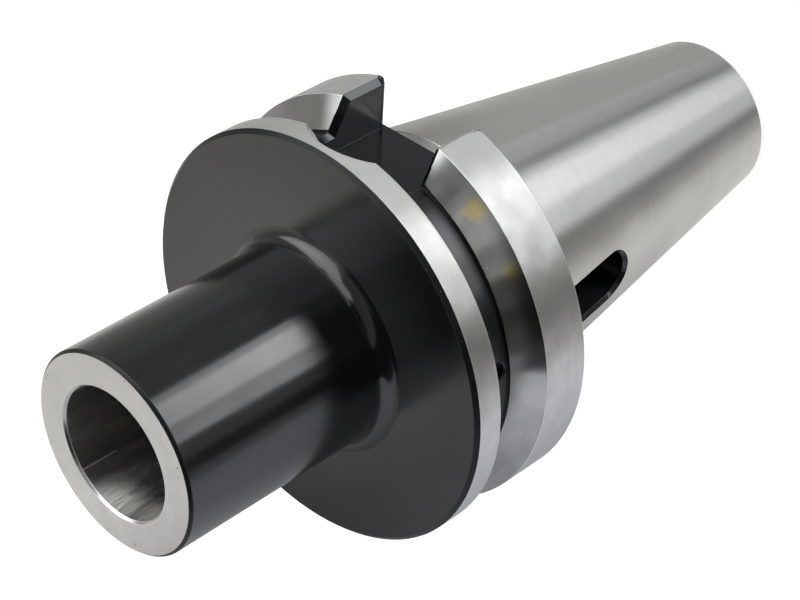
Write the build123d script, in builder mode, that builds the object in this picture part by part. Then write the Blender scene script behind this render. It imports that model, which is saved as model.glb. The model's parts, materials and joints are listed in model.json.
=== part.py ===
from build123d import *
from math import hypot, radians, tan
import os

# Spindle adapter turned and milled from one bar of alloy steel: a No. 50 taper of 7:24 below the
# flange, and above it a nose with a No. 4 self-holding taper socket. The axis is vertical, the origin
# is the centre of the gauge plane, and the nose points up. Sizes are in millimetres.

# Shank, and the fine relief that parts its ground taper from the flange
gauge_diameter = 69.85
shank_taper = 7 / 24
shank_length = 101.8
shank_end_chamfer = 0.5
relief_width = 0.7
relief_depth = 0.25

# Flange with its gripper groove
flange_diameter = 100.0
flange_rear = 3.0
flange_front = 38.0
flange_front_chamfer = 1.0
flange_rear_chamfer = 0.4
groove_centre = 23.2
groove_mouth = 15.0
groove_angle = 60.0
groove_depth = 7.5
groove_corner_radius = 1.0

# Drive slots, one each side, milled in from the rear by a cutter as wide as the slot, and deeper
# than the groove by a step
drive_slot_width = 25.7
drive_slot_step = 7.1
drive_slot_end = 33.5
drive_slot_edge = 1.6
drive_slot_corner_radius = 2.2
drive_slot_corner_rise = 1.9

# Dimple drilled in the groove floor, its angle counted from a drive slot
dimple_diameter = 4.4
dimple_depth = 1.6
dimple_edge = 0.25
dimple_angle = -80.0

# Nose
nose_diameter = 48.0
nose_edge_chamfer = 0.7
neck_fillet = 3.5

# Taper socket, and the drift slot that crosses its inner end. The nose is as short as it can be
# with the whole slot below the gauge plane.
socket_diameter = 31.267
socket_taper = 1 / 19.254
socket_end_diameter = 25.9
socket_mouth_chamfer = 0.55
socket_past_slot = 9.0
drift_slot_width = 11.9
drift_slot_from_mouth = 98.0
drift_slot_length = 33.0
drift_slot_below_gauge = 3.0
drift_slot_edge = 1.0

# Pull stud hole in the small end: a pilot bore, then the drilled core of an M24 thread
stud_diameter = 24.0
stud_core_diameter = 20.752
stud_hole_depth = 45.0
pilot_diameter = 25.0
pilot_depth = 9.0
pilot_chamfer = 1.5
drill_point_angle = 118.0

# Half planes that outlines are turned from lie between the slots, so no cut crosses a seam
turning_plane = Plane.XZ.rotated((0, 0, 45))

# How far a cutting shape runs past the metal, and how near an edge lies to a size it is picked by
overrun = 2.0
match = 0.01

gauge_radius = gauge_diameter / 2
shank_end = -shank_length
flange_radius = flange_diameter / 2
floor_radius = flange_radius - groove_depth
drive_slot_floor = floor_radius - drive_slot_step
nose_radius = nose_diameter / 2
nose_projection = drift_slot_from_mouth - drift_slot_below_gauge
socket_radius = socket_diameter / 2
socket_end_radius = socket_end_diameter / 2
socket_depth = drift_slot_from_mouth + socket_past_slot
cutter_radius = drive_slot_width / 2
cutter_stop = drive_slot_end - cutter_radius
corner_start = flange_rear + drive_slot_corner_rise
pilot_radius = pilot_diameter / 2
stud_radius = stud_diameter / 2
stud_core_radius = stud_core_diameter / 2


def shank_radius(height):
    return gauge_radius + height * shank_taper / 2


def axis_distance(point):
    return hypot(point.X, point.Y)


# The groove is wide at the lands and narrows to its floor along two flanks
groove_floor_width = groove_mouth - 2 * groove_depth * tan(radians(groove_angle / 2))

# The socket's taper runs in until it meets the plain bore at its end
socket_taper_length = (socket_diameter - socket_end_diameter) / socket_taper
drill_point = stud_core_radius / tan(radians(drill_point_angle / 2))


def rings(radius, height):
    # Circles and arcs about the adapter's axis, picked by their radius and height
    arcs = adapter_body.edges().filter_by(GeomType.CIRCLE)
    level = arcs.filter_by(lambda edge: abs(edge.arc_center.Z - height) < match)
    return level.filter_by(lambda edge: abs(edge.radius - radius) < match)


with BuildPart() as adapter_body:
    # The bar turned to its outline
    with BuildSketch(turning_plane):
        with BuildLine():
            Polyline(
                (0, shank_end),
                (shank_radius(shank_end), shank_end),
                (shank_radius(-relief_width), -relief_width),
                (shank_radius(-relief_width) - relief_depth, -relief_width),
                (gauge_radius - relief_depth, 0),
                (gauge_radius, 0),
                (gauge_radius, flange_rear),
                (flange_radius, flange_rear),
                (flange_radius, groove_centre - groove_mouth / 2),
                (floor_radius, groove_centre - groove_floor_width / 2),
                (floor_radius, groove_centre + groove_floor_width / 2),
                (flange_radius, groove_centre + groove_mouth / 2),
                (flange_radius, flange_front),
                (nose_radius, flange_front),
                (nose_radius, nose_projection),
                (0, nose_projection),
                close=True,
            )
        make_face()
    revolve(axis=Axis.Z)
    fillet(rings(nose_radius, flange_front), neck_fillet)
    chamfer(rings(nose_radius, nose_projection), nose_edge_chamfer)
    chamfer(rings(flange_radius, flange_front), flange_front_chamfer)
    chamfer(rings(shank_radius(shank_end), shank_end), shank_end_chamfer)

    # Drive slots: a flat floor, two straight walls that round off at the rear, and a round end where
    # the cutter stopped. One chamfer follows the rim over the land, down the groove and round the end.
    for side in (Plane.YZ, Plane.YZ.rotated((0, 0, 180))):
        with BuildSketch(side.offset(drive_slot_floor)):
            with BuildLine():
                Line((cutter_radius, cutter_stop), (cutter_radius, corner_start))
                corner = CenterArc(
                    (cutter_radius + drive_slot_corner_radius, corner_start),
                    drive_slot_corner_radius,
                    180,
                    90,
                )
                Polyline(
                    corner @ 1,
                    (cutter_radius + drive_slot_corner_radius, flange_rear - overrun),
                    (0, flange_rear - overrun),
                )
                mirror(about=Plane.YZ)
                CenterArc((0, cutter_stop), cutter_radius, 0, 180)
            make_face()
        extrude(amount=flange_radius, mode=Mode.SUBTRACT)
        rim = edges(Select.LAST).filter_by(GeomType.CIRCLE, reverse=True)
        rim = rim.filter_by(Axis.X, reverse=True)
        rim = rim.filter_by(lambda edge: axis_distance(edge.center()) > floor_radius - match)
        chamfer(rim, drive_slot_edge)
    fillet(
        rings(floor_radius, groove_centre - groove_floor_width / 2)
        + rings(floor_radius, groove_centre + groove_floor_width / 2),
        groove_corner_radius,
    )
    chamfer(rings(flange_radius, flange_rear), flange_rear_chamfer)

    # Taper socket, turned from the nose
    with BuildSketch(turning_plane):
        with BuildLine():
            Polyline(
                (0, nose_projection),
                (socket_radius, nose_projection),
                (socket_end_radius, nose_projection - socket_taper_length),
                (socket_end_radius, nose_projection - socket_depth),
                (0, nose_projection - socket_depth),
                close=True,
            )
        make_face()
    revolve(axis=Axis.Z, mode=Mode.SUBTRACT)
    chamfer(rings(socket_radius, nose_projection), socket_mouth_chamfer)

    # Drift slot, milled through the shank at right angles to the drive slots
    with BuildSketch(Plane.XZ):
        with Locations((0, -drift_slot_below_gauge - drift_slot_length / 2)):
            SlotOverall(drift_slot_length, drift_slot_width, rotation=90)
    extrude(amount=gauge_radius + overrun, both=True, mode=Mode.SUBTRACT)
    mouths = edges(Select.LAST).filter_by(
        lambda edge: axis_distance(edge.center()) > shank_radius(shank_end)
    )
    chamfer(mouths, drift_slot_edge)

    # Pull stud hole: a pilot bore with a bevelled mouth, then the core that the thread is cut in
    with BuildSketch(turning_plane):
        with BuildLine():
            Polyline(
                (0, shank_end),
                (pilot_radius + pilot_chamfer, shank_end),
                (pilot_radius, shank_end + pilot_chamfer),
                (pilot_radius, shank_end + pilot_depth),
                (stud_radius, shank_end + pilot_depth),
                (stud_core_radius, shank_end + pilot_depth + stud_radius - stud_core_radius),
                (stud_core_radius, shank_end + stud_hole_depth),
                (0, shank_end + stud_hole_depth + drill_point),
                close=True,
            )
        make_face()
    revolve(axis=Axis.Z, mode=Mode.SUBTRACT)

    # Dimple in the floor of the gripper groove
    outward = Vector(1, 0, 0).rotate(Axis.Z, dimple_angle)
    dimple_face = Plane(
        origin=outward * floor_radius + Vector(0, 0, groove_centre), z_dir=outward
    )
    with BuildSketch(dimple_face):
        Circle(dimple_diameter / 2)
    extrude(amount=-dimple_depth, mode=Mode.SUBTRACT)
    dimple_mouth = edges(Select.LAST).filter_by(
        lambda edge: axis_distance(edge.center()) > floor_radius - match
    )
    chamfer(dimple_mouth, dimple_edge)

adapter_body.part.label = "adapter_body"

os.makedirs("parts", exist_ok=True)
export_step(adapter_body.part, "parts/adapter_body.step")
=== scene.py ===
import json
import math

import bmesh
import bpy
from mathutils import Matrix, Quaternion, Vector

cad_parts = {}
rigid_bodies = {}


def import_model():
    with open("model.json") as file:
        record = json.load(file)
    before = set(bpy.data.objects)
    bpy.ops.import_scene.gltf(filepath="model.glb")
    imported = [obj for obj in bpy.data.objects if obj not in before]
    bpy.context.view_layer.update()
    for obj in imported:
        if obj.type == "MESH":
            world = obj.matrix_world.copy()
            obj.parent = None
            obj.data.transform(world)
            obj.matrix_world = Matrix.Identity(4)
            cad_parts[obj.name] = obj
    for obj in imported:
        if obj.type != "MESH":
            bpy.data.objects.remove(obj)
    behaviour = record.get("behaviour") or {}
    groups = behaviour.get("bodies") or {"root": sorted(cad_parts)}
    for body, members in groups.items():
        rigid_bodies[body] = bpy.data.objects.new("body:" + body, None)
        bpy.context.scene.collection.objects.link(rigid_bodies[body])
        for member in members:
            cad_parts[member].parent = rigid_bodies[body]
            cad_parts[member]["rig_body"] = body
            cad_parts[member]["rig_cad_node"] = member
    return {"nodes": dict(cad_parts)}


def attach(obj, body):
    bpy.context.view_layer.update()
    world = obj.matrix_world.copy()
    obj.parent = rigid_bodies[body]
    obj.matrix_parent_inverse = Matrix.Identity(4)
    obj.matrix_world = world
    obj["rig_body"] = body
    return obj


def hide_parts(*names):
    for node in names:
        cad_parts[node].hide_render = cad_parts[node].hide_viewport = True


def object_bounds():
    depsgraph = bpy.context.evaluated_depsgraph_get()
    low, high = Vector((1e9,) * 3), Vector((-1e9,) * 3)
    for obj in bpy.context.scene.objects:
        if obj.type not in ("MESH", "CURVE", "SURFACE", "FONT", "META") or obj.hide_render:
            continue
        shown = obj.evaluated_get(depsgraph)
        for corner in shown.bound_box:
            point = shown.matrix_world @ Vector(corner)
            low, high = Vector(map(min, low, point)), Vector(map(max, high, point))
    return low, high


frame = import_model()
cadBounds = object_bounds()
mm = 0.001
print("frame loaded")


# Small tools that every part of the script uses

def deselectAll():
    bpy.ops.object.select_all(action="DESELECT")


def makeActive(piece):
    deselectAll()
    piece.select_set(True)
    bpy.context.view_layer.objects.active = piece


def applyModifier(piece, kind, **settings):
    makeActive(piece)
    modifier = piece.modifiers.new(kind.lower(), kind)
    for name, value in settings.items():
        setattr(modifier, name, value)
    bpy.ops.object.modifier_apply(modifier=modifier.name)


def hexColour(code):
    # sRGB hex to the linear values that sockets want
    channels = [int(code[i:i + 2], 16) / 255 for i in (1, 3, 5)]
    return [c / 12.92 if c <= 0.04045 else ((c + 0.055) / 1.055) ** 2.4 for c in channels] + [1.0]


def addNode(tree, kind, settings=None, links=None):
    # one node, with its own settings or socket values, and what feeds its sockets
    node = tree.nodes.new(kind)
    for name, value in (settings or {}).items():
        if isinstance(name, str) and hasattr(node, name):
            setattr(node, name, value)
        else:
            node.inputs[name].default_value = value
    for name, source in (links or {}).items():
        tree.links.new(source, node.inputs[name])
    return node


def newMaterial(name):
    material = bpy.data.materials.new(name)
    material.use_nodes = True
    material.node_tree.nodes.clear()
    return material, material.node_tree


# A ramp below is written by the sockets of its Map Range node: 1 and 2 are where it starts and
# ends, and 3 and 4 are the levels there, 0 and 1 where none are given. A gentle one has soft ends.

gentle = {"interpolation_type": "SMOOTHSTEP"}


# Camera: the part lay on its side in the photograph, slot up, so the view is rolled. Places are in
# millimetres, and the clipping distances in metres.

camera = {
    "place": (316.92, -285.72, 329.18),
    "target": (-12.38, 8.03, 0.0),
    "roll": -120.33,
    "lens": 104.95,
    "sensor": 36.0,
    "clip": (0.01, 20),
}


def makeCamera():
    place = Vector(camera["place"]) * mm
    aim = Vector(camera["target"]) * mm - place
    bpy.ops.object.camera_add(location=place)
    shot = bpy.context.object
    shot.name = "camera"
    shot.rotation_mode = "QUATERNION"
    roll = Quaternion((0, 0, 1), math.radians(camera["roll"]))
    shot.rotation_quaternion = aim.to_track_quat("-Z", "Y") @ roll
    shot.data.lens = camera["lens"]
    shot.data.sensor_width = camera["sensor"]
    shot.data.clip_start, shot.data.clip_end = camera["clip"]
    bpy.context.scene.camera = shot


makeCamera()
print("camera placed")


# Studio: the light tent and the softboxes stand as they stood round the lying part, so their own
# up is the side that the drive slot faces. Its X runs to the nose and its Y to the strip light's side.
# Turns count from the nose and lifts from level, in degrees. Distances and sizes are in metres.

studio = {
    "up": (0.993, -0.040, 0.112),
    "worldLevel": 0.6,
    "cool": "#f0f2fc",
    "warm": "#fff4e4",
    "neutral": "#fffefa",
    "lamp": "#f5f9fb",
}

# lamps that light the part, and the glowing faces and dark cards that only its gloss sees
lamps = [
    {"name": "key", "turn": -40, "lift": 42, "distance": 1.0, "size": (0.9, 1.3), "level": 0.4,
     "spin": 0},
    {"name": "strip", "turn": 142, "lift": 38, "distance": 0.8, "size": (0.68, 0.26), "level": 1.2,
     "spin": 46},
]

cards = [
    {"name": "key", "turn": -42, "lift": 46, "distance": 1.1, "size": (1.0, 1.6), "glow": 3.1},
    {"name": "keyCentre", "turn": -46, "lift": 38, "distance": 1.0, "size": (0.40, 0.55), "glow": 4.0},
    {"name": "strip", "turn": 141, "lift": 37, "distance": 0.81, "size": (0.68, 0.28), "glow": 4.2,
     "spin": 46},
    {"name": "stripCentre", "turn": 144, "lift": 42, "distance": 0.8, "size": (0.31, 0.24), "glow": 7.8,
     "spin": 46},
    {"name": "top", "turn": 60, "lift": 80, "distance": 1.3, "size": (0.9, 0.9), "glow": 2.4},
    {"name": "flag", "turn": 103, "lift": 48, "distance": 0.9, "size": (0.45, 0.6), "glow": 0.02},
    {"name": "room", "turn": 50, "lift": -3, "distance": 1.2, "size": (2.6, 0.95), "glow": 0.01},
    {"name": "edge", "turn": 136, "lift": 0, "distance": 1.2, "size": (1.3, 0.28), "glow": 0.03},
    {"name": "back", "turn": 175, "lift": 25, "distance": 1.3, "size": (0.9, 0.9), "glow": 0.08},
    {"name": "backLow", "turn": 165, "lift": -12, "distance": 1.3, "size": (1.0, 0.5), "glow": 1.2},
    {"name": "gap", "turn": -168, "lift": 40, "distance": 1.2, "size": (0.3, 0.32), "glow": 1.1},
    {"name": "side", "turn": -118, "lift": -19, "distance": 1.3, "size": (0.42, 0.5), "glow": 0.62},
    {"name": "sideBack", "turn": -137, "lift": -19, "distance": 1.3, "size": (0.44, 0.5), "glow": 1.2},
    {"name": "gapSide", "turn": -138, "lift": 30, "distance": 1.2, "size": (0.45, 0.3), "glow": 0.46},
    {"name": "tableLeft", "turn": -95, "lift": -40, "distance": 1.3, "size": (1.3, 0.8), "glow": 2.4,
     "tint": "warm"},
    {"name": "tableBack", "turn": -170, "lift": -35, "distance": 1.3, "size": (1.3, 0.8), "glow": 2.6,
     "tint": "warm"},
]


def studioFrame():
    up = Vector(studio["up"]).normalized()
    along = (Vector((0, 0, 1)) - up * up.z).normalized()
    return Matrix((along, up.cross(along), up)).transposed()


def studioPlace(turn, lift, distance):
    a, b = math.radians(turn), math.radians(lift)
    local = Vector((math.cos(a) * math.cos(b), math.sin(a) * math.cos(b), math.sin(b)))
    return studioFrame() @ local * distance


def facing(place, spin):
    # turned to the origin, with the studio's up as the height before the spin
    back = place.normalized()
    side = (studioFrame() @ Vector((0, 0, 1))).cross(back).normalized()
    turned = Matrix((side, back.cross(side), back)).transposed().to_quaternion()
    return turned @ Quaternion((0, 0, 1), math.radians(spin))


def makeLamp(lamp):
    place = studioPlace(lamp["turn"], lamp["lift"], lamp["distance"])
    bpy.ops.object.light_add(type="AREA", location=place)
    light = bpy.context.object
    light.name = "lamp_" + lamp["name"]
    light.rotation_mode = "QUATERNION"
    light.rotation_quaternion = facing(place, lamp["spin"])
    light.data.shape = "RECTANGLE"
    light.data.size, light.data.size_y = lamp["size"]
    # a level of 1 lights a white face turned to the lamp to white
    light.data.energy = lamp["level"] * math.pi ** 2 * lamp["distance"] ** 2
    light.visible_glossy = False


def glossOnly(piece):
    piece.visible_camera = False
    piece.visible_diffuse = False
    piece.visible_transmission = False
    piece.visible_shadow = False


def makeCard(card):
    place = studioPlace(card["turn"], card["lift"], card["distance"])
    bpy.ops.mesh.primitive_plane_add(size=1, location=place)
    plane = bpy.context.object
    plane.name = "card_" + card["name"]
    plane.scale = (*card["size"], 1)
    plane.rotation_mode = "QUATERNION"
    plane.rotation_quaternion = facing(place, card.get("spin", 0))
    material, tree = newMaterial("card_cloth_" + card["name"])
    tint = studio[card.get("tint", "lamp")]
    glow = addNode(tree, "ShaderNodeEmission", {"Color": hexColour(tint), "Strength": card["glow"]})
    addNode(tree, "ShaderNodeOutputMaterial", None, {"Surface": glow.outputs[0]})
    plane.data.materials.append(material)
    glossOnly(plane)


# The tent round it all. Its ramps run over the parts of a direction of length 1.

tentCloth = {
    "radius": 2.0,
    "segments": 64,
    "rings": 32,
    "table": {1: -0.9, 2: 0.9, 3: 0.45, 4: 0.95},
    "underPart": {**gentle, 1: -1.0, 2: -0.6, 3: 0.35, 4: 1.0},
    "grey": {1: 0.1, 2: 0.8, 3: 0.45, 4: 0.30},
    "skirt": {**gentle, 1: -0.28, 2: -0.06},
}


def tentMaterial():
    # a pale table below, brighter towards the nose, and grey cloth above, darker towards the top
    material, tree = newMaterial("tent_cloth")
    place = addNode(tree, "ShaderNodeTexCoord").outputs["Object"]
    unit = addNode(tree, "ShaderNodeVectorMath", {"operation": "NORMALIZE"}, {0: place}).outputs[0]
    axes = addNode(tree, "ShaderNodeSeparateXYZ", None, {0: unit})
    table = addNode(tree, "ShaderNodeMapRange", tentCloth["table"], {0: axes.outputs["X"]})
    # the lying part keeps the light from the table under it
    under = addNode(tree, "ShaderNodeMapRange", tentCloth["underPart"], {0: axes.outputs["Z"]})
    table = addNode(tree, "ShaderNodeMath", {"operation": "MULTIPLY"},
                    {0: table.outputs[0], 1: under.outputs[0]})
    grey = addNode(tree, "ShaderNodeMapRange", tentCloth["grey"], {0: axes.outputs["Z"]})
    above = addNode(tree, "ShaderNodeMapRange", tentCloth["skirt"], {0: axes.outputs["Z"]})
    level = addNode(tree, "ShaderNodeMix", {"data_type": "FLOAT"},
                    {0: above.outputs[0], 2: table.outputs[0], 3: grey.outputs[0]})
    tint = addNode(tree, "ShaderNodeMix", {"data_type": "RGBA", 6: hexColour(studio["cool"]),
                                           7: hexColour(studio["neutral"])}, {0: above.outputs[0]})
    glow = addNode(tree, "ShaderNodeEmission", None,
                   {"Color": tint.outputs[2], "Strength": level.outputs[0]})
    addNode(tree, "ShaderNodeOutputMaterial", None, {"Surface": glow.outputs[0]})
    return material


def makeTent():
    bpy.ops.mesh.primitive_uv_sphere_add(segments=tentCloth["segments"], ring_count=tentCloth["rings"],
                                         radius=tentCloth["radius"])
    tent = bpy.context.object
    tent.name = "light_tent"
    tent.rotation_mode = "QUATERNION"
    tent.rotation_quaternion = studioFrame().to_quaternion()
    tent.data.materials.append(tentMaterial())
    glossOnly(tent)


# The near part of the table, as the part's gloss sees it. Its height is in millimetres from the
# axis, and its ramps run over distances in metres.

tableCloth = {
    "height": -50.5,
    "size": (0.56, 0.46),
    "nearPart": {**gentle, 1: 0.02, 2: 0.13, 3: 0.47, 4: 1.05},
    "keySide": {1: -0.11, 2: 0.01, 3: 0.82, 4: 1.08},
    "frontTurn": (0.927, 0.375, 0),
    "frontEdge": {**gentle, 1: 0.172, 2: 0.192, 3: 1.0, 4: 0.06},
    "pastShank": {1: -0.10, 2: -0.04},
    "shankLevel": {3: 0.88, 4: 1.0},
    "besideNose": {**gentle, 1: 0.0, 2: 0.05, 3: 0.58, 4: 1.0},
    "noseStart": {1: 0.02, 2: 0.05},
    "stripSide": {1: -0.05, 2: 0.05},
}


def tableMaterial():
    material, tree = newMaterial("table_cloth_shaded")
    place = addNode(tree, "ShaderNodeTexCoord").outputs["Object"]
    place = addNode(tree, "ShaderNodeVectorMath",
                    {"operation": "MULTIPLY", 1: (*tableCloth["size"], 1)}, {0: place}).outputs[0]
    axes = addNode(tree, "ShaderNodeSeparateXYZ", None, {0: place})
    # darker close to the part, which shades the cloth
    away = addNode(tree, "ShaderNodeVectorMath", {"operation": "LENGTH"}, {0: place}).outputs["Value"]
    level = addNode(tree, "ShaderNodeMapRange", tableCloth["nearPart"], {0: away})
    # and on the key's side, where the strip light throws the part's shadow
    side = addNode(tree, "ShaderNodeMapRange", tableCloth["keySide"], {0: axes.outputs["Y"]})
    # the cloth ends in front of the nose, a little turned
    reach = addNode(tree, "ShaderNodeVectorMath",
                    {"operation": "DOT_PRODUCT", 1: tableCloth["frontTurn"]}, {0: place})
    front = addNode(tree, "ShaderNodeMapRange", tableCloth["frontEdge"], {0: reach.outputs["Value"]})
    # a little less of any light falls under the shank
    past = addNode(tree, "ShaderNodeMapRange", tableCloth["pastShank"], {0: axes.outputs["X"]})
    shank = addNode(tree, "ShaderNodeMapRange", tableCloth["shankLevel"], {0: past.outputs[0]})
    # and the nose shades the cloth right under it
    beside = addNode(tree, "ShaderNodeMath", {"operation": "ABSOLUTE"}, {0: axes.outputs["Y"]})
    beside = addNode(tree, "ShaderNodeMapRange", tableCloth["besideNose"], {0: beside.outputs[0]})
    nose = addNode(tree, "ShaderNodeMapRange", tableCloth["noseStart"], {0: axes.outputs["X"]})
    nose = addNode(tree, "ShaderNodeMix", {"data_type": "FLOAT", 2: 1.0},
                   {0: nose.outputs[0], 3: beside.outputs[0]})
    for share in (side, front, shank, nose):
        level = addNode(tree, "ShaderNodeMath", {"operation": "MULTIPLY"},
                        {0: level.outputs[0], 1: share.outputs[0]})
    # the strip light's cooler light falls on its own side, in front of the shank
    cool = addNode(tree, "ShaderNodeMapRange", tableCloth["stripSide"], {0: axes.outputs["Y"]})
    cool = addNode(tree, "ShaderNodeMath", {"operation": "MULTIPLY"},
                   {0: cool.outputs[0], 1: past.outputs[0]})
    tint = addNode(tree, "ShaderNodeMix", {"data_type": "RGBA", 6: hexColour(studio["neutral"]),
                                           7: hexColour(studio["cool"])}, {0: cool.outputs[0]})
    glow = addNode(tree, "ShaderNodeEmission", None,
                   {"Color": tint.outputs[2], "Strength": level.outputs[0]})
    addNode(tree, "ShaderNodeOutputMaterial", None, {"Surface": glow.outputs[0]})
    return material


def makeTable():
    place = studioFrame() @ Vector((0, 0, tableCloth["height"] * mm))
    bpy.ops.mesh.primitive_plane_add(size=1, location=place)
    table = bpy.context.object
    table.name = "card_table"
    table.scale = (*tableCloth["size"], 1)
    table.rotation_mode = "QUATERNION"
    table.rotation_quaternion = studioFrame().to_quaternion()
    table.data.materials.append(tableMaterial())
    glossOnly(table)


# The floor that the part stands on

floorCloth = {
    "side": 6.0,
    "grey": "#c8c8c8",
    "lift": 0.78,
}


def floorMaterial():
    # matt white, lifted to full white for the camera only, so that it still takes the soft shadow
    material, tree = newMaterial("matt_white_floor")
    path = addNode(tree, "ShaderNodeLightPath")
    matt = addNode(tree, "ShaderNodeBsdfDiffuse", {"Color": hexColour(floorCloth["grey"])})
    lift = addNode(tree, "ShaderNodeMath", {"operation": "MULTIPLY", 1: floorCloth["lift"]},
                   {0: path.outputs["Is Camera Ray"]})
    glow = addNode(tree, "ShaderNodeEmission", None, {"Strength": lift.outputs[0]})
    both = addNode(tree, "ShaderNodeAddShader", None, {0: matt.outputs[0], 1: glow.outputs[0]})
    addNode(tree, "ShaderNodeOutputMaterial", None, {"Surface": both.outputs[0]})
    return material


def makeFloor():
    bpy.ops.mesh.primitive_plane_add(size=floorCloth["side"], location=(0, 0, cadBounds[0].z))
    floor = bpy.context.object
    floor.name = "floor"
    floor.data.materials.append(floorMaterial())
    floor.visible_glossy = False
    floor.visible_shadow = False


def makeWorld():
    # white where it is seen or mirrored, and dimmer where it lights
    world = bpy.data.worlds.new("studio")
    world.use_nodes = True
    tree = world.node_tree
    tree.nodes.clear()
    path = addNode(tree, "ShaderNodeLightPath")
    seen = addNode(tree, "ShaderNodeMath", {"operation": "MAXIMUM"},
                   {0: path.outputs["Is Camera Ray"], 1: path.outputs["Is Glossy Ray"]})
    seen = addNode(tree, "ShaderNodeMath", {"operation": "MAXIMUM"},
                   {0: seen.outputs[0], 1: path.outputs["Is Transmission Ray"]})
    dim = addNode(tree, "ShaderNodeBackground", {"Strength": studio["worldLevel"]})
    white = addNode(tree, "ShaderNodeBackground", {"Color": (1, 1, 1, 1), "Strength": 1.0})
    mix = addNode(tree, "ShaderNodeMixShader", None,
                  {0: seen.outputs[0], 1: dim.outputs[0], 2: white.outputs[0]})
    addNode(tree, "ShaderNodeOutputWorld", None, {"Surface": mix.outputs[0]})
    bpy.context.scene.world = world


makeFloor()
makeTent()
makeTable()
makeWorld()
for lamp in lamps:
    makeLamp(lamp)
for card in cards:
    makeCard(card)
bpy.context.scene.view_settings.view_transform = "Standard"
print("studio set")


# Patterns for the finishes, all on the part's own coordinates, with sizes in millimetres. Each is
# drawn at its real size, or as coarse as it must be to show.

patterns = {
    "cloudRange": {1: 0.32, 2: 0.68},
    "raggedSize": 1.5,
    "raggedDetail": 3.0,
    "markDetail": 2.0,
}


def levelPlace(tree):
    # the place without its height, so its length is the distance from the axis
    place = addNode(tree, "ShaderNodeTexCoord").outputs["Object"]
    return addNode(tree, "ShaderNodeVectorMath", {"operation": "MULTIPLY", 1: (1, 1, 0)},
                   {0: place}).outputs[0]


def axisDistance(tree):
    away = addNode(tree, "ShaderNodeVectorMath", {"operation": "LENGTH"}, {0: levelPlace(tree)})
    return away.outputs["Value"]


def axisHeight(tree):
    place = addNode(tree, "ShaderNodeTexCoord").outputs["Object"]
    return addNode(tree, "ShaderNodeSeparateXYZ", None, {0: place}).outputs["Z"]


def toolMarks(tree, across, spacing, length):
    # fine marks, so far apart and so long: across "axis" they run round the part's sides, across
    # "radius" in rings on its faces, and across "round" lengthways
    fast, slow = 1 / (spacing * mm), 1 / (length * mm)
    if across == "round":
        place = addNode(tree, "ShaderNodeTexCoord").outputs["Object"]
        place = addNode(tree, "ShaderNodeVectorMath",
                        {"operation": "MULTIPLY", 1: (fast, fast, slow)}, {0: place})
    else:
        steps = axisDistance(tree) if across == "radius" else axisHeight(tree)
        steps = addNode(tree, "ShaderNodeMath", {"operation": "MULTIPLY", 1: fast}, {0: steps})
        steps = addNode(tree, "ShaderNodeCombineXYZ", None, {"Z": steps.outputs[0]})
        along = addNode(tree, "ShaderNodeVectorMath", {"operation": "SCALE", "Scale": slow},
                        {0: levelPlace(tree)})
        place = addNode(tree, "ShaderNodeVectorMath", {"operation": "ADD"},
                        {0: along.outputs[0], 1: steps.outputs[0]})
    return addNode(tree, "ShaderNodeTexNoise", {"Scale": 1.0, "Detail": patterns["markDetail"]},
                   {"Vector": place.outputs[0]}).outputs[0]


def cloudiness(tree, size, detail):
    # patches of about the given size, from 0 to 1
    place = addNode(tree, "ShaderNodeTexCoord").outputs["Object"]
    noise = addNode(tree, "ShaderNodeTexNoise", {"Scale": 1 / (size * mm), "Detail": detail},
                    {"Vector": place})
    return addNode(tree, "ShaderNodeMapRange", patterns["cloudRange"], {0: noise.outputs[0]}).outputs[0]


def specks(tree, pitch, size, share):
    # scattered dots, 1 on a dot and 0 off it
    place = addNode(tree, "ShaderNodeTexCoord").outputs["Object"]
    cells = addNode(tree, "ShaderNodeTexVoronoi", {"Scale": 1 / (pitch * mm)}, {"Vector": place})
    near = addNode(tree, "ShaderNodeMath", {"operation": "LESS_THAN", 1: size / pitch},
                   {0: cells.outputs["Distance"]})
    pick = addNode(tree, "ShaderNodeSeparateColor", None, {0: cells.outputs["Color"]})
    pick = addNode(tree, "ShaderNodeMath", {"operation": "LESS_THAN", 1: share}, {0: pick.outputs[0]})
    return addNode(tree, "ShaderNodeMath", {"operation": "MULTIPLY"},
                   {0: near.outputs[0], 1: pick.outputs[0]}).outputs[0]


def nearPlaces(tree, places, ragged, soft):
    # 1 close to any of the places, each (x, y, z, radius): ragged and soft are shares of the radius
    place = addNode(tree, "ShaderNodeTexCoord").outputs["Object"]
    noise = addNode(tree, "ShaderNodeTexNoise", {"Scale": 1 / (patterns["raggedSize"] * mm),
                                                 "Detail": patterns["raggedDetail"]}, {"Vector": place})
    edge = addNode(tree, "ShaderNodeMapRange", {3: -ragged / 2, 4: ragged / 2}, {0: noise.outputs[0]})
    total = None
    for x, y, z, radius in places:
        away = addNode(tree, "ShaderNodeVectorMath",
                       {"operation": "DISTANCE", 1: (x * mm, y * mm, z * mm)}, {0: place})
        away = addNode(tree, "ShaderNodeMath", {"operation": "MULTIPLY_ADD", 1: 1 / (radius * mm)},
                       {0: away.outputs["Value"], 2: edge.outputs[0]})
        spot = addNode(tree, "ShaderNodeMapRange", {**gentle, 1: 1 - soft, 2: 1.0, 3: 1.0, 4: 0.0},
                       {0: away.outputs[0]})
        if total:
            spot = addNode(tree, "ShaderNodeMath", {"operation": "MAXIMUM"},
                           {0: total, 1: spot.outputs[0]})
        total = spot.outputs[0]
    return total


def fromAxis(tree, start, stop):
    # 0 at the first distance from the axis, rising to 1 at the second
    return addNode(tree, "ShaderNodeMapRange", {1: start * mm, 2: stop * mm},
                   {0: axisDistance(tree)}).outputs[0]


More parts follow.
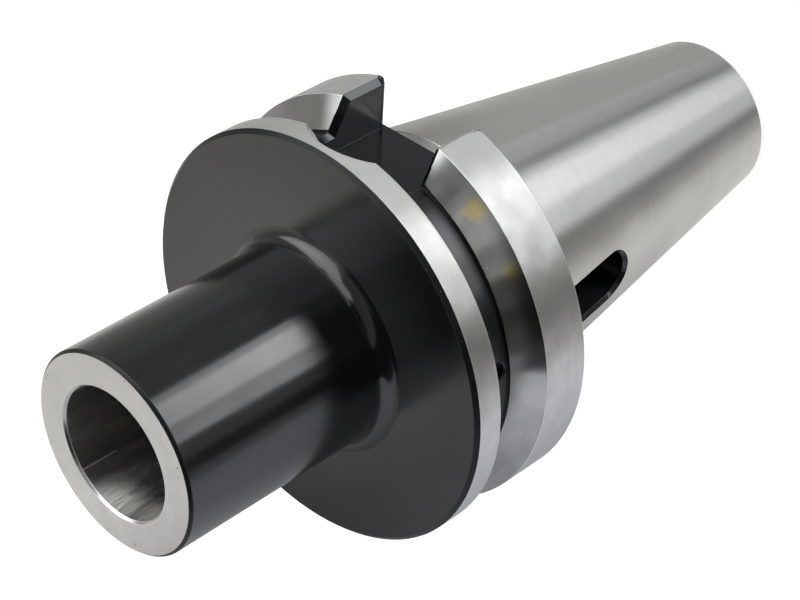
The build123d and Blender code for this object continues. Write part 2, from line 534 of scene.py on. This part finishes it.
def scratch(tree, line):
    # 1 along a hair line of the given width that runs lengthways at (x, y) from one height to another
    x, y, low, high, width = line
    away = addNode(tree, "ShaderNodeVectorMath", {"operation": "DISTANCE", 1: (x * mm, y * mm, 0)},
                   {0: levelPlace(tree)})
    close = addNode(tree, "ShaderNodeMath", {"operation": "LESS_THAN", 1: width / 2 * mm},
                    {0: away.outputs["Value"]})
    inside = addNode(tree, "ShaderNodeMath", {"operation": "COMPARE", 1: (low + high) / 2 * mm,
                                              2: (high - low) / 2 * mm}, {0: axisHeight(tree)})
    return addNode(tree, "ShaderNodeMath", {"operation": "MULTIPLY"},
                   {0: close.outputs[0], 1: inside.outputs[0]}).outputs[0]


def machinedNormal(tree, look, waveSize, marks):
    # soft waves from the machine, with the finer tool marks on them
    waves = addNode(tree, "ShaderNodeBump", {"Strength": 1.0, "Distance": look["waviness"] * mm},
                    {"Height": cloudiness(tree, waveSize, 1.0)})
    return addNode(tree, "ShaderNodeBump", {"Strength": 1.0, "Distance": look["markDepth"] * mm},
                   {"Height": marks, "Normal": waves.outputs[0]}).outputs[0]


# What the ground steels share: sizes in millimetres, and how much each thing roughens the surface.
# An edge is how ragged and how soft the rim of a painted reflection patch or a scuff is.

groundSteel = {
    "markLength": 30.0,
    "markRange": {1: 0.35, 2: 0.65},
    "markRoughness": 0.25,
    "pitPitch": 1.3,
    "pitFade": 1.5,
    "stainEdge": (0.8, 0.6),
    "scuffEdge": (0.1, 0.95),
    "scuffStroke": (0.5, 4.0),
    "scuffRoughness": {1: 0.38, 2: 0.62, 3: 0.19, 4: 0.34},
    "scratchRoughness": 0.16,
    "waveSize": 9.0,
}


def steelColour(tree, look, cloud, streaks):
    pits = specks(tree, groundSteel["pitPitch"], look["pitSize"], look["pits"])
    if "pitsFrom" in look:
        rim = fromAxis(tree, look["pitsFrom"], look["pitsFrom"] + groundSteel["pitFade"])
        pits = addNode(tree, "ShaderNodeMath", {"operation": "MULTIPLY"}, {0: pits, 1: rim}).outputs[0]
    layers = [(streaks, look["dark"]), (pits, look["pit"])]
    # yellowish patches of painted reflection on the flanks
    for places, reflectionTint in look.get("stains", []):
        layers.append((nearPlaces(tree, places, *groundSteel["stainEdge"]), reflectionTint))
    colour = addNode(tree, "ShaderNodeMix", {"data_type": "RGBA", 6: hexColour(look["colour"]),
                                             7: hexColour(look["shade"])}, {0: cloud})
    for share, tint in layers:
        colour = addNode(tree, "ShaderNodeMix", {"data_type": "RGBA", 7: hexColour(tint)},
                         {0: share, 6: colour.outputs[2]})
    return colour.outputs[2]


def steelRoughness(tree, look, cloud, streaks):
    # the patches are duller where the stone cut less, and the marks roughen the surface a little
    rough = addNode(tree, "ShaderNodeMath", {"operation": "MULTIPLY_ADD", 1: look["uneven"],
                                             2: look["roughness"] - look["uneven"] / 2}, {0: cloud})
    rough = addNode(tree, "ShaderNodeMath",
                    {"operation": "MULTIPLY_ADD", 1: groundSteel["markRoughness"]},
                    {0: streaks, 2: rough.outputs[0]})
    if "scuffs" in look:
        # rubbed in short strokes, which scatter the light there
        strokes = addNode(tree, "ShaderNodeMapRange", groundSteel["scuffRoughness"],
                          {0: toolMarks(tree, "round", *groundSteel["scuffStroke"])})
        near = nearPlaces(tree, look["scuffs"], *groundSteel["scuffEdge"])
        scuffed = addNode(tree, "ShaderNodeMath", {"operation": "MULTIPLY"},
                          {0: strokes.outputs[0], 1: near})
        rough = addNode(tree, "ShaderNodeMath", {"operation": "ADD"},
                        {0: rough.outputs[0], 1: scuffed.outputs[0]})
    for line in look.get("scratches", []):
        rough = addNode(tree, "ShaderNodeMath",
                        {"operation": "MULTIPLY_ADD", 1: groundSteel["scratchRoughness"]},
                        {0: scratch(tree, line), 2: rough.outputs[0]})
    return rough.outputs[0]


def steelMaterial(name, look):
    material, tree = newMaterial(name)
    cloud = cloudiness(tree, look["patch"], look["detail"])
    marks = toolMarks(tree, look["across"], look["spacing"], groundSteel["markLength"])
    streaks = addNode(tree, "ShaderNodeMapRange", {**groundSteel["markRange"], 4: look["streaks"]},
                      {0: marks}).outputs[0]
    tangent = addNode(tree, "ShaderNodeTangent", {"direction_type": "RADIAL", "axis": "Z"})
    # a rotation of a quarter turn stretches each reflection along the axis
    metal = addNode(tree, "ShaderNodeBsdfPrincipled",
                    {"Metallic": 1.0, "Anisotropic": look["brushed"], "Anisotropic Rotation": 0.25},
                    {"Base Color": steelColour(tree, look, cloud, streaks),
                     "Roughness": steelRoughness(tree, look, cloud, streaks),
                     "Tangent": tangent.outputs[0],
                     "Normal": machinedNormal(tree, look, groundSteel["waveSize"], marks)})
    addNode(tree, "ShaderNodeOutputMaterial", None, {"Surface": metal.outputs[0]})
    return material


# What the black finishes share, in millimetres: the brown patches, the length of a tool mark, the
# size of the soft waves, and how far from the axis the flange's painted sheen ring ends and is full

blackOxide = {
    "patch": 14.0,
    "detail": 4.0,
    "uneven": 0.05,
    "markLength": 22.0,
    "waveSize": 7.0,
    "neckRing": (46.0, 28.0),
}


def blackMaterial(name, look):
    material, tree = newMaterial(name)
    cloud = cloudiness(tree, blackOxide["patch"], blackOxide["detail"])
    marks = toolMarks(tree, look["across"], look["spacing"], blackOxide["markLength"])
    layers = []
    # a painted sheen, paler towards the neck
    if "neckShade" in look:
        layers.append((fromAxis(tree, *blackOxide["neckRing"]), look["neckShade"]))
    *dustPlaces, dustColour = look["dust"]
    layers.append((specks(tree, *dustPlaces), dustColour))
    colour = addNode(tree, "ShaderNodeMix", {"data_type": "RGBA", 6: hexColour(look["colour"]),
                                             7: hexColour(look["shade"])}, {0: cloud})
    for share, tint in layers:
        colour = addNode(tree, "ShaderNodeMix", {"data_type": "RGBA", 7: hexColour(tint)},
                         {0: share, 6: colour.outputs[2]})
    rough = addNode(tree, "ShaderNodeMath", {"operation": "MULTIPLY_ADD", 1: blackOxide["uneven"],
                                             2: look["roughness"] - blackOxide["uneven"] / 2},
                    {0: cloud})
    tangent = addNode(tree, "ShaderNodeTangent", {"direction_type": "RADIAL", "axis": "Z"})
    oxide = addNode(tree, "ShaderNodeBsdfPrincipled",
                    {"Metallic": 0.0, "Specular IOR Level": look["shine"],
                     "Anisotropic": look["brushed"], "Anisotropic Rotation": 0.25},
                    {"Base Color": colour.outputs[2], "Roughness": rough.outputs[0],
                     "Tangent": tangent.outputs[0],
                     "Normal": machinedNormal(tree, look, blackOxide["waveSize"], marks)})
    addNode(tree, "ShaderNodeOutputMaterial", None, {"Surface": oxide.outputs[0]})
    return material


# Hardened alloy steel, cylindrically ground: hair lines round the axis stretch each reflection
# along it, and the shank shows soft waves from the wheel. Grit lines are about 0.02 mm apart, and
# are drawn some twenty times as coarse to show.
taperLook = {"colour": "#c2c1bd", "shade": "#b9b8b5", "dark": "#8d8d8b", "across": "axis", "spacing": 0.45,
             "patch": 16.0, "detail": 3.0, "streaks": 0.11, "roughness": 0.30, "uneven": 0.03,
             "brushed": 0.95, "waviness": 0.010, "markDepth": 0.0002, "pits": 0.0, "pitSize": 0.13,
             "pit": "#8d8d8b"}

# The lands are ground as the shank is, but duller, with small bright specks
landLook = dict(taperLook, colour="#c8c7c3", shade="#bfbebb", patch=5.0, detail=2.0, streaks=0.08,
                roughness=0.43, uneven=0.05, brushed=0.85, waviness=0.003, pits=0.22, pitSize=0.10,
                pit="#f2f2f0")

# The groove's flanks, with two soft yellowish patches of painted reflection
flankLook = dict(taperLook, colour="#a6a5a3", shade="#9a9997", patch=7.0, detail=1.0, streaks=0.04,
                 roughness=0.17, uneven=0.02, waviness=0.002, markDepth=0.0001, pits=0.08, pit="#e8e8e6",
                 stains=[([(39.1, -26.7, 17.2, 3.4), (29.2, -38.2, 16.8, 2.8)], "#b5a981")])

# The end faces are ground finer, in rings, so they shine more evenly, with small dark pits near
# the nose's rim
faceLook = dict(taperLook, colour="#c1bfbe", shade="#bab9b7", across="radius", spacing=0.5, patch=5.0,
                detail=2.0, streaks=0.03, roughness=0.25, uneven=0.04, brushed=0.3, waviness=0.004,
                markDepth=0.0001, pits=0.22, pitSize=0.20, pit="#3a3a38", pitsFrom=20.3)

# The socket was ground inside, with broad darker bands running lengthways, one scratch and a
# scuffed place near its mouth
boreLook = dict(taperLook, colour="#d8d6d1", shade="#c4c1ba", across="round", spacing=2.5, patch=12.0,
                streaks=0.3, roughness=0.2, uneven=0.06, brushed=0.6, waviness=0.008, markDepth=0.001,
                pits=0.04, scratches=[(-11.15, 10.8, 85.4, 94.4, 0.4)],
                scuffs=[(-15.5, 1.0, 93.5, 10.0), (-13.0, -8.0, 91.0, 9.0)])

# Edges broken with a stone: a bright even line wherever two ground faces meet
breakLook = dict(faceLook, colour="#d8d8d6", shade="#cbcbc9", roughness=0.42, brushed=0.0, pits=0.0)

# Black oxide over turned steel: blue-black and satin, a little brown in patches. Its feed marks are
# 0.2 mm apart, are drawn twice as coarse to show, and stretch the gloss along the nose. Light
# specks of dust lie on it, given by their spacing, size, share and colour.
noseBlackLook = {"colour": "#0f1012", "shade": "#131313", "across": "axis", "spacing": 0.4,
                 "roughness": 0.18, "brushed": 0.6, "waviness": 0.004, "markDepth": 0.0005, "shine": 0.62,
                 "dust": (1.6, 0.10, 0.10, "#7d7d78")}

# The groove's floor was left duller than the nose
grooveBlackLook = dict(noseBlackLook, brushed=0.0, colour="#121416", roughness=0.24, shine=0.30)

# The same oxide on the faced flange, whose marks run in rings, with a painted sheen that makes it a little
# paler towards the neck
facedBlackLook = dict(noseBlackLook, brushed=0.0, across="radius", colour="#0e0f10", shade="#131211",
                      roughness=0.2, shine=0.64, neckShade="#2b2c2d", markDepth=0.0006,
                      dust=(1.9, 0.09, 0.08, "#5c5c58"))

# And on the milled slots
milledBlackLook = dict(noseBlackLook, brushed=0.0, roughness=0.17, shine=0.33, markDepth=0.0004)

# In the groove's rounded corners the oxide is made darker and duller: painted shade where the corners lie
# in shadow
paintedShadeCornerLook = dict(noseBlackLook, brushed=0.0, colour="#08090a", shade="#0c0c0c", roughness=0.3,
                       shine=0.1)

# On the chamfered rims the oxide is dull, and nicked through to bright steel
rimBlackLook = dict(noseBlackLook, brushed=0.0, colour="#0c0d0e", shade="#161616", roughness=0.34,
                    shine=0.18, dust=(0.9, 0.12, 0.08, "#6a6a67"))

# Oxide rubbed thin where edges were broken
breakBlackLook = dict(noseBlackLook, brushed=0.0, colour="#1a1b1c", shade="#2a2a29", roughness=0.3,
                      shine=0.35)


# Adapter body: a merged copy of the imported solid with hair-fine edge breaks and its finishes.
# Sizes are in millimetres, and an edge is broken where it turns by more than sharpFrom degrees.

body = {
    "edgeBreak": 0.10,
    "breakSegments": 2,
    "sharpFrom": 32,
    "mergeWithin": 0.002,
    "dissolveUnder": 0.001,
    "milled": "milledBlack",
    "turnedBlack": {"noseBlack", "grooveBlack", "facedBlack", "rimBlack", "cornerBlack"},
}

# how far a face may be from the outline and still be a part of it: in millimetres off a line or off
# a corner's arc, past the ends of a line as a share of it, and in slope. A face that turns by more
# than milledTurn to one side was milled.
tolerance = {
    "line": 0.06,
    "ends": 0.02,
    "slope": 0.08,
    "corner": 0.05,
    "milledTurn": 0.1,
}

# the rounded corners of the gripper groove: each arc's centre, and their radius
corners = {"places": [(43.5, 20.607), (43.5, 25.793)], "radius": 1.0}

# the turned outline by finish, each stretch from one (radius, height) to the next
turned = {
    "taper": [((20.08, -101.8), (34.83, -0.7)), ((34.823, -0.7), (34.573, -0.7)),
              ((34.573, -0.7), (34.675, 0)), ((34.675, 0), (34.925, 0)), ((34.925, 0), (34.925, 3))],
    "land": [((50, 3), (50, 15.7)), ((50, 30.7), (50, 38))],
    "flank": [((42.5, 20.03), (50, 15.7)), ((42.5, 26.37), (50, 30.7))],
    "face": [((16.184, 95), (24, 95)), ((15.619, 94.45), (16.184, 95)), ((13, -101.8), (20.08, -101.8))],
    "bore": [((15.634, 95), (12.95, -8.34))],
    "noseBlack": [((24, 41.5), (24, 94.3))],
    "grooveBlack": [((42.5, 20), (42.5, 26.4))],
    "rimBlack": [((24, 94.3), (23.3, 95)), ((50, 37), (49, 38))],
    "facedBlack": [((27.5, 38), (49, 38)), ((34.9, 3), (49.6, 3))],
}


def copyBody():
    solid = frame["nodes"]["adapter_body"]
    piece = solid.copy()
    piece.data = solid.data.copy()
    piece.data.materials.clear()
    piece.parent = None
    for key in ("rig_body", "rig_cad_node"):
        del piece[key]
    bpy.context.collection.objects.link(piece)
    piece.name = "adapter"
    # the solid's own corner normals are kept as an attribute, which a merge and a bevel carry along
    kept = piece.data.attributes.new("turnedNormal", "FLOAT_VECTOR", "CORNER")
    for corner, normal in zip(kept.data, piece.data.corner_normals):
        corner.vector = normal.vector
    makeActive(piece)
    bpy.ops.mesh.customdata_custom_splitnormals_clear()
    bpy.ops.object.mode_set(mode="EDIT")
    bpy.ops.mesh.select_all(action="SELECT")
    bpy.ops.mesh.remove_doubles(threshold=body["mergeWithin"] * mm)
    bpy.ops.mesh.dissolve_degenerate(threshold=body["dissolveUnder"] * mm)
    bpy.ops.mesh.faces_shade_smooth()
    bpy.ops.object.mode_set(mode="OBJECT")
    return piece


def outlinePlaces(mesh, face):
    # the radius and height of each of the face's corners, in millimetres
    places = [mesh.vertices[vertex].co / mm for vertex in face.vertices]
    return [(math.hypot(place.x, place.y), place.z) for place in places]


def onLine(place, line):
    # whether a radius and height lie on a stretch of the outline
    (r0, z0), (r1, z1) = line
    along = Vector((r1 - r0, z1 - z0))
    offset = Vector((place[0] - r0, place[1] - z0))
    share = offset.dot(along) / along.length_squared
    near = abs(along.cross(offset)) / along.length < tolerance["line"]
    return near and -tolerance["ends"] < share < 1 + tolerance["ends"]


def stretchOf(mesh, slant, face):
    # the stretch of the outline that holds all of the face's corners and has its slant
    places = outlinePlaces(mesh, face)
    for finish, lines in turned.items():
        for line in lines:
            (r0, z0), (r1, z1) = line
            slope = abs(r1 - r0) / math.hypot(r1 - r0, z1 - z0)
            alike = abs(abs(slant.z) - slope) < tolerance["slope"]
            if alike and all(onLine(place, line) for place in places):
                return finish, line
    return None, None


def turnNormals(mesh, kept, slant, face, line):
    # the exact normal of a turned surface, in place of one worn by the size of the facets
    (r0, z0), (r1, z1) = line
    outward, lift = (z1 - z0), (r0 - r1)
    for corner in face.loop_indices:
        place = mesh.vertices[mesh.loops[corner].vertex_index].co
        radial = Vector((place.x, place.y, 0)).normalized()
        normal = (radial * outward + Vector((0, 0, lift))).normalized()
        kept[corner].vector = normal if normal.dot(slant) > 0 else -normal


def cornerOf(mesh, face):
    # the rounded groove corner that all of the face's corners lie on
    places = outlinePlaces(mesh, face)
    for middle in corners["places"]:
        aways = [math.dist(place, middle) for place in places]
        if all(abs(away - corners["radius"]) < tolerance["corner"] for away in aways):
            return middle
    return None


def roundNormals(mesh, kept, face, middle):
    # a hollow corner's normals point to the middle of its arc
    for corner in face.loop_indices:
        place = mesh.vertices[mesh.loops[corner].vertex_index].co / mm
        radial = Vector((place.x, place.y, 0))
        normal = radial.normalized() * (middle[0] - radial.length) + Vector((0, 0, middle[1] - place.z))
        kept[corner].vector = normal.normalized()


def dressBody(piece):
    # every face gets the finish of its stretch of the outline
    materials = {
        "milledBlack": blackMaterial("black_oxide_milled", milledBlackLook),
        "noseBlack": blackMaterial("black_oxide_turned", noseBlackLook),
        "grooveBlack": blackMaterial("black_oxide_grooved", grooveBlackLook),
        "facedBlack": blackMaterial("black_oxide_faced", facedBlackLook),
        "rimBlack": blackMaterial("black_oxide_rims", rimBlackLook),
        "cornerBlack": blackMaterial("black_oxide_corners", paintedShadeCornerLook),
        "taper": steelMaterial("alloy_steel_cylindrical_ground", taperLook),
        "land": steelMaterial("alloy_steel_flange_ground", landLook),
        "flank": steelMaterial("alloy_steel_groove_ground", flankLook),
        "face": steelMaterial("alloy_steel_face_ground", faceLook),
        "bore": steelMaterial("alloy_steel_bore_ground", boreLook),
    }
    slots = {}
    for index, (name, material) in enumerate(materials.items()):
        piece.data.materials.append(material)
        slots[name] = index
    kept = piece.data.attributes["turnedNormal"].data
    for face in piece.data.polygons:
        slant = sum((kept[corner].vector for corner in face.loop_indices), Vector()).normalized()
        # milled where it faces neither along the axis nor straight out from it
        sideways = Vector((-face.center.y, face.center.x, 0)).normalized().dot(slant)
        milled = abs(sideways) > tolerance["milledTurn"]
        middle = None if milled else cornerOf(piece.data, face)
        finish, line = stretchOf(piece.data, slant, face)
        if middle:
            roundNormals(piece.data, kept, face, middle)
            # the rounded groove corners take the darker oxide, as painted shade
            finish = "cornerBlack"
        elif line:
            turnNormals(piece.data, kept, slant, face, line)
        else:
            finish = body["milled"] if milled else "noseBlack"
        face.material_index = slots[finish]
    return slots


def dressBreaks(piece, slots, breakSlot):
    # a broken edge is bright between ground faces and where a slot was milled into one
    mesh = piece.data
    turnedBlack = {slots[name] for name in body["turnedBlack"]}
    around = {}
    for face in mesh.polygons:
        if face.material_index != breakSlot:
            for vertex in face.vertices:
                around.setdefault(vertex, set()).add(face.material_index)
    for face in mesh.polygons:
        if face.material_index == breakSlot:
            sides = set().union(*(around.get(vertex, set()) for vertex in face.vertices))
            if sides & turnedBlack or sides == {slots[body["milled"]]}:
                face.material_index = breakSlot + 1


def restoreNormals(piece, breakSlot):
    # broad faces take their kept normals, and an edge break bends from one face's to the next's
    mesh = piece.data
    kept = mesh.attributes["turnedNormal"].data
    atVertex = {}
    for face in mesh.polygons:
        if face.material_index < breakSlot:
            for corner in face.loop_indices:
                vertex = mesh.loops[corner].vertex_index
                atVertex[vertex] = atVertex.get(vertex, Vector()) + kept[corner].vector
    normals = [Vector() for corner in mesh.loops]
    for face in mesh.polygons:
        for corner in face.loop_indices:
            vertex = mesh.loops[corner].vertex_index
            if face.material_index < breakSlot:
                normals[corner] = kept[corner].vector.normalized()  # none on the thread, left as cut
            elif vertex in atVertex:
                normals[corner] = atVertex[vertex].normalized()
    mesh.normals_split_custom_set(normals)


# The pull stud's thread, which the solid leaves as a plain core: cut by a tap of one screwed ridge.
# The ridge is given by its radius and width in millimetres, at its inner and its outer edge.

tap = {
    "pitch": 3.0,
    "inner": (9.9, 2.80),
    "outer": (12.0, 0.375),
    "start": -93.5,
    "turns": 11,
    "steps": 48,
}


def makeTap():
    (innerRadius, innerWidth), (outerRadius, outerWidth) = tap["inner"], tap["outer"]
    middle = ((innerRadius + outerRadius) / 2 * mm, 0, tap["start"] * mm)
    deselectAll()
    bpy.ops.mesh.primitive_plane_add(size=1, location=middle, rotation=(math.pi / 2, 0, 0))
    ridge = bpy.context.object
    ridge.scale = ((outerRadius - innerRadius) * mm, innerWidth * mm, 1)
    bpy.ops.object.transform_apply(location=True, rotation=True, scale=True)
    bpy.ops.object.mode_set(mode="EDIT")
    bpy.ops.mesh.delete(type="ONLY_FACE")
    bpy.ops.mesh.select_mode(type="VERT")
    bpy.ops.mesh.select_all(action="DESELECT")
    mesh = bmesh.from_edit_mesh(ridge.data)
    for vertex in mesh.verts:
        vertex.select = vertex.co.x > middle[0]
    mesh.select_flush(True)
    bmesh.update_edit_mesh(ridge.data)
    bpy.ops.transform.resize(value=(1, 1, outerWidth / innerWidth),
                             center_override=(outerRadius * mm, 0, middle[2]))
    bpy.ops.object.mode_set(mode="OBJECT")
    applyModifier(ridge, "SCREW", axis="Z", angle=2 * math.pi, screw_offset=tap["pitch"] * mm,
                  iterations=tap["turns"], steps=tap["steps"], render_steps=tap["steps"],
                  use_smooth_shade=False)
    bpy.ops.object.mode_set(mode="EDIT")
    bpy.ops.mesh.select_all(action="SELECT")
    bpy.ops.mesh.fill_holes(sides=4)
    bpy.ops.mesh.select_all(action="SELECT")
    bpy.ops.mesh.normals_make_consistent(inside=False)
    bpy.ops.object.mode_set(mode="OBJECT")
    return ridge


def cutThread(piece):
    ridge = makeTap()
    applyModifier(piece, "BOOLEAN", operation="DIFFERENCE", object=ridge, solver="EXACT")
    bpy.data.objects.remove(ridge)


adapter = copyBody()
finishSlots = dressBody(adapter)
print("finishes on")

edgeSlot = len(finishSlots)
adapter.data.materials.append(steelMaterial("alloy_steel_edge_break", breakLook))
applyModifier(adapter, "BEVEL", width=body["edgeBreak"] * mm, segments=body["breakSegments"],
              limit_method="ANGLE", angle_limit=math.radians(body["sharpFrom"]),
              use_clamp_overlap=False, material=edgeSlot)
adapter.data.materials.append(blackMaterial("black_oxide_edge_break", breakBlackLook))
dressBreaks(adapter, finishSlots, edgeSlot)
print("edges broken")

cutThread(adapter)
print("thread cut")

restoreNormals(adapter, edgeSlot)
print("adapter body", len(adapter.data.polygons), "faces")

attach(adapter, "root")
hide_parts("adapter_body")
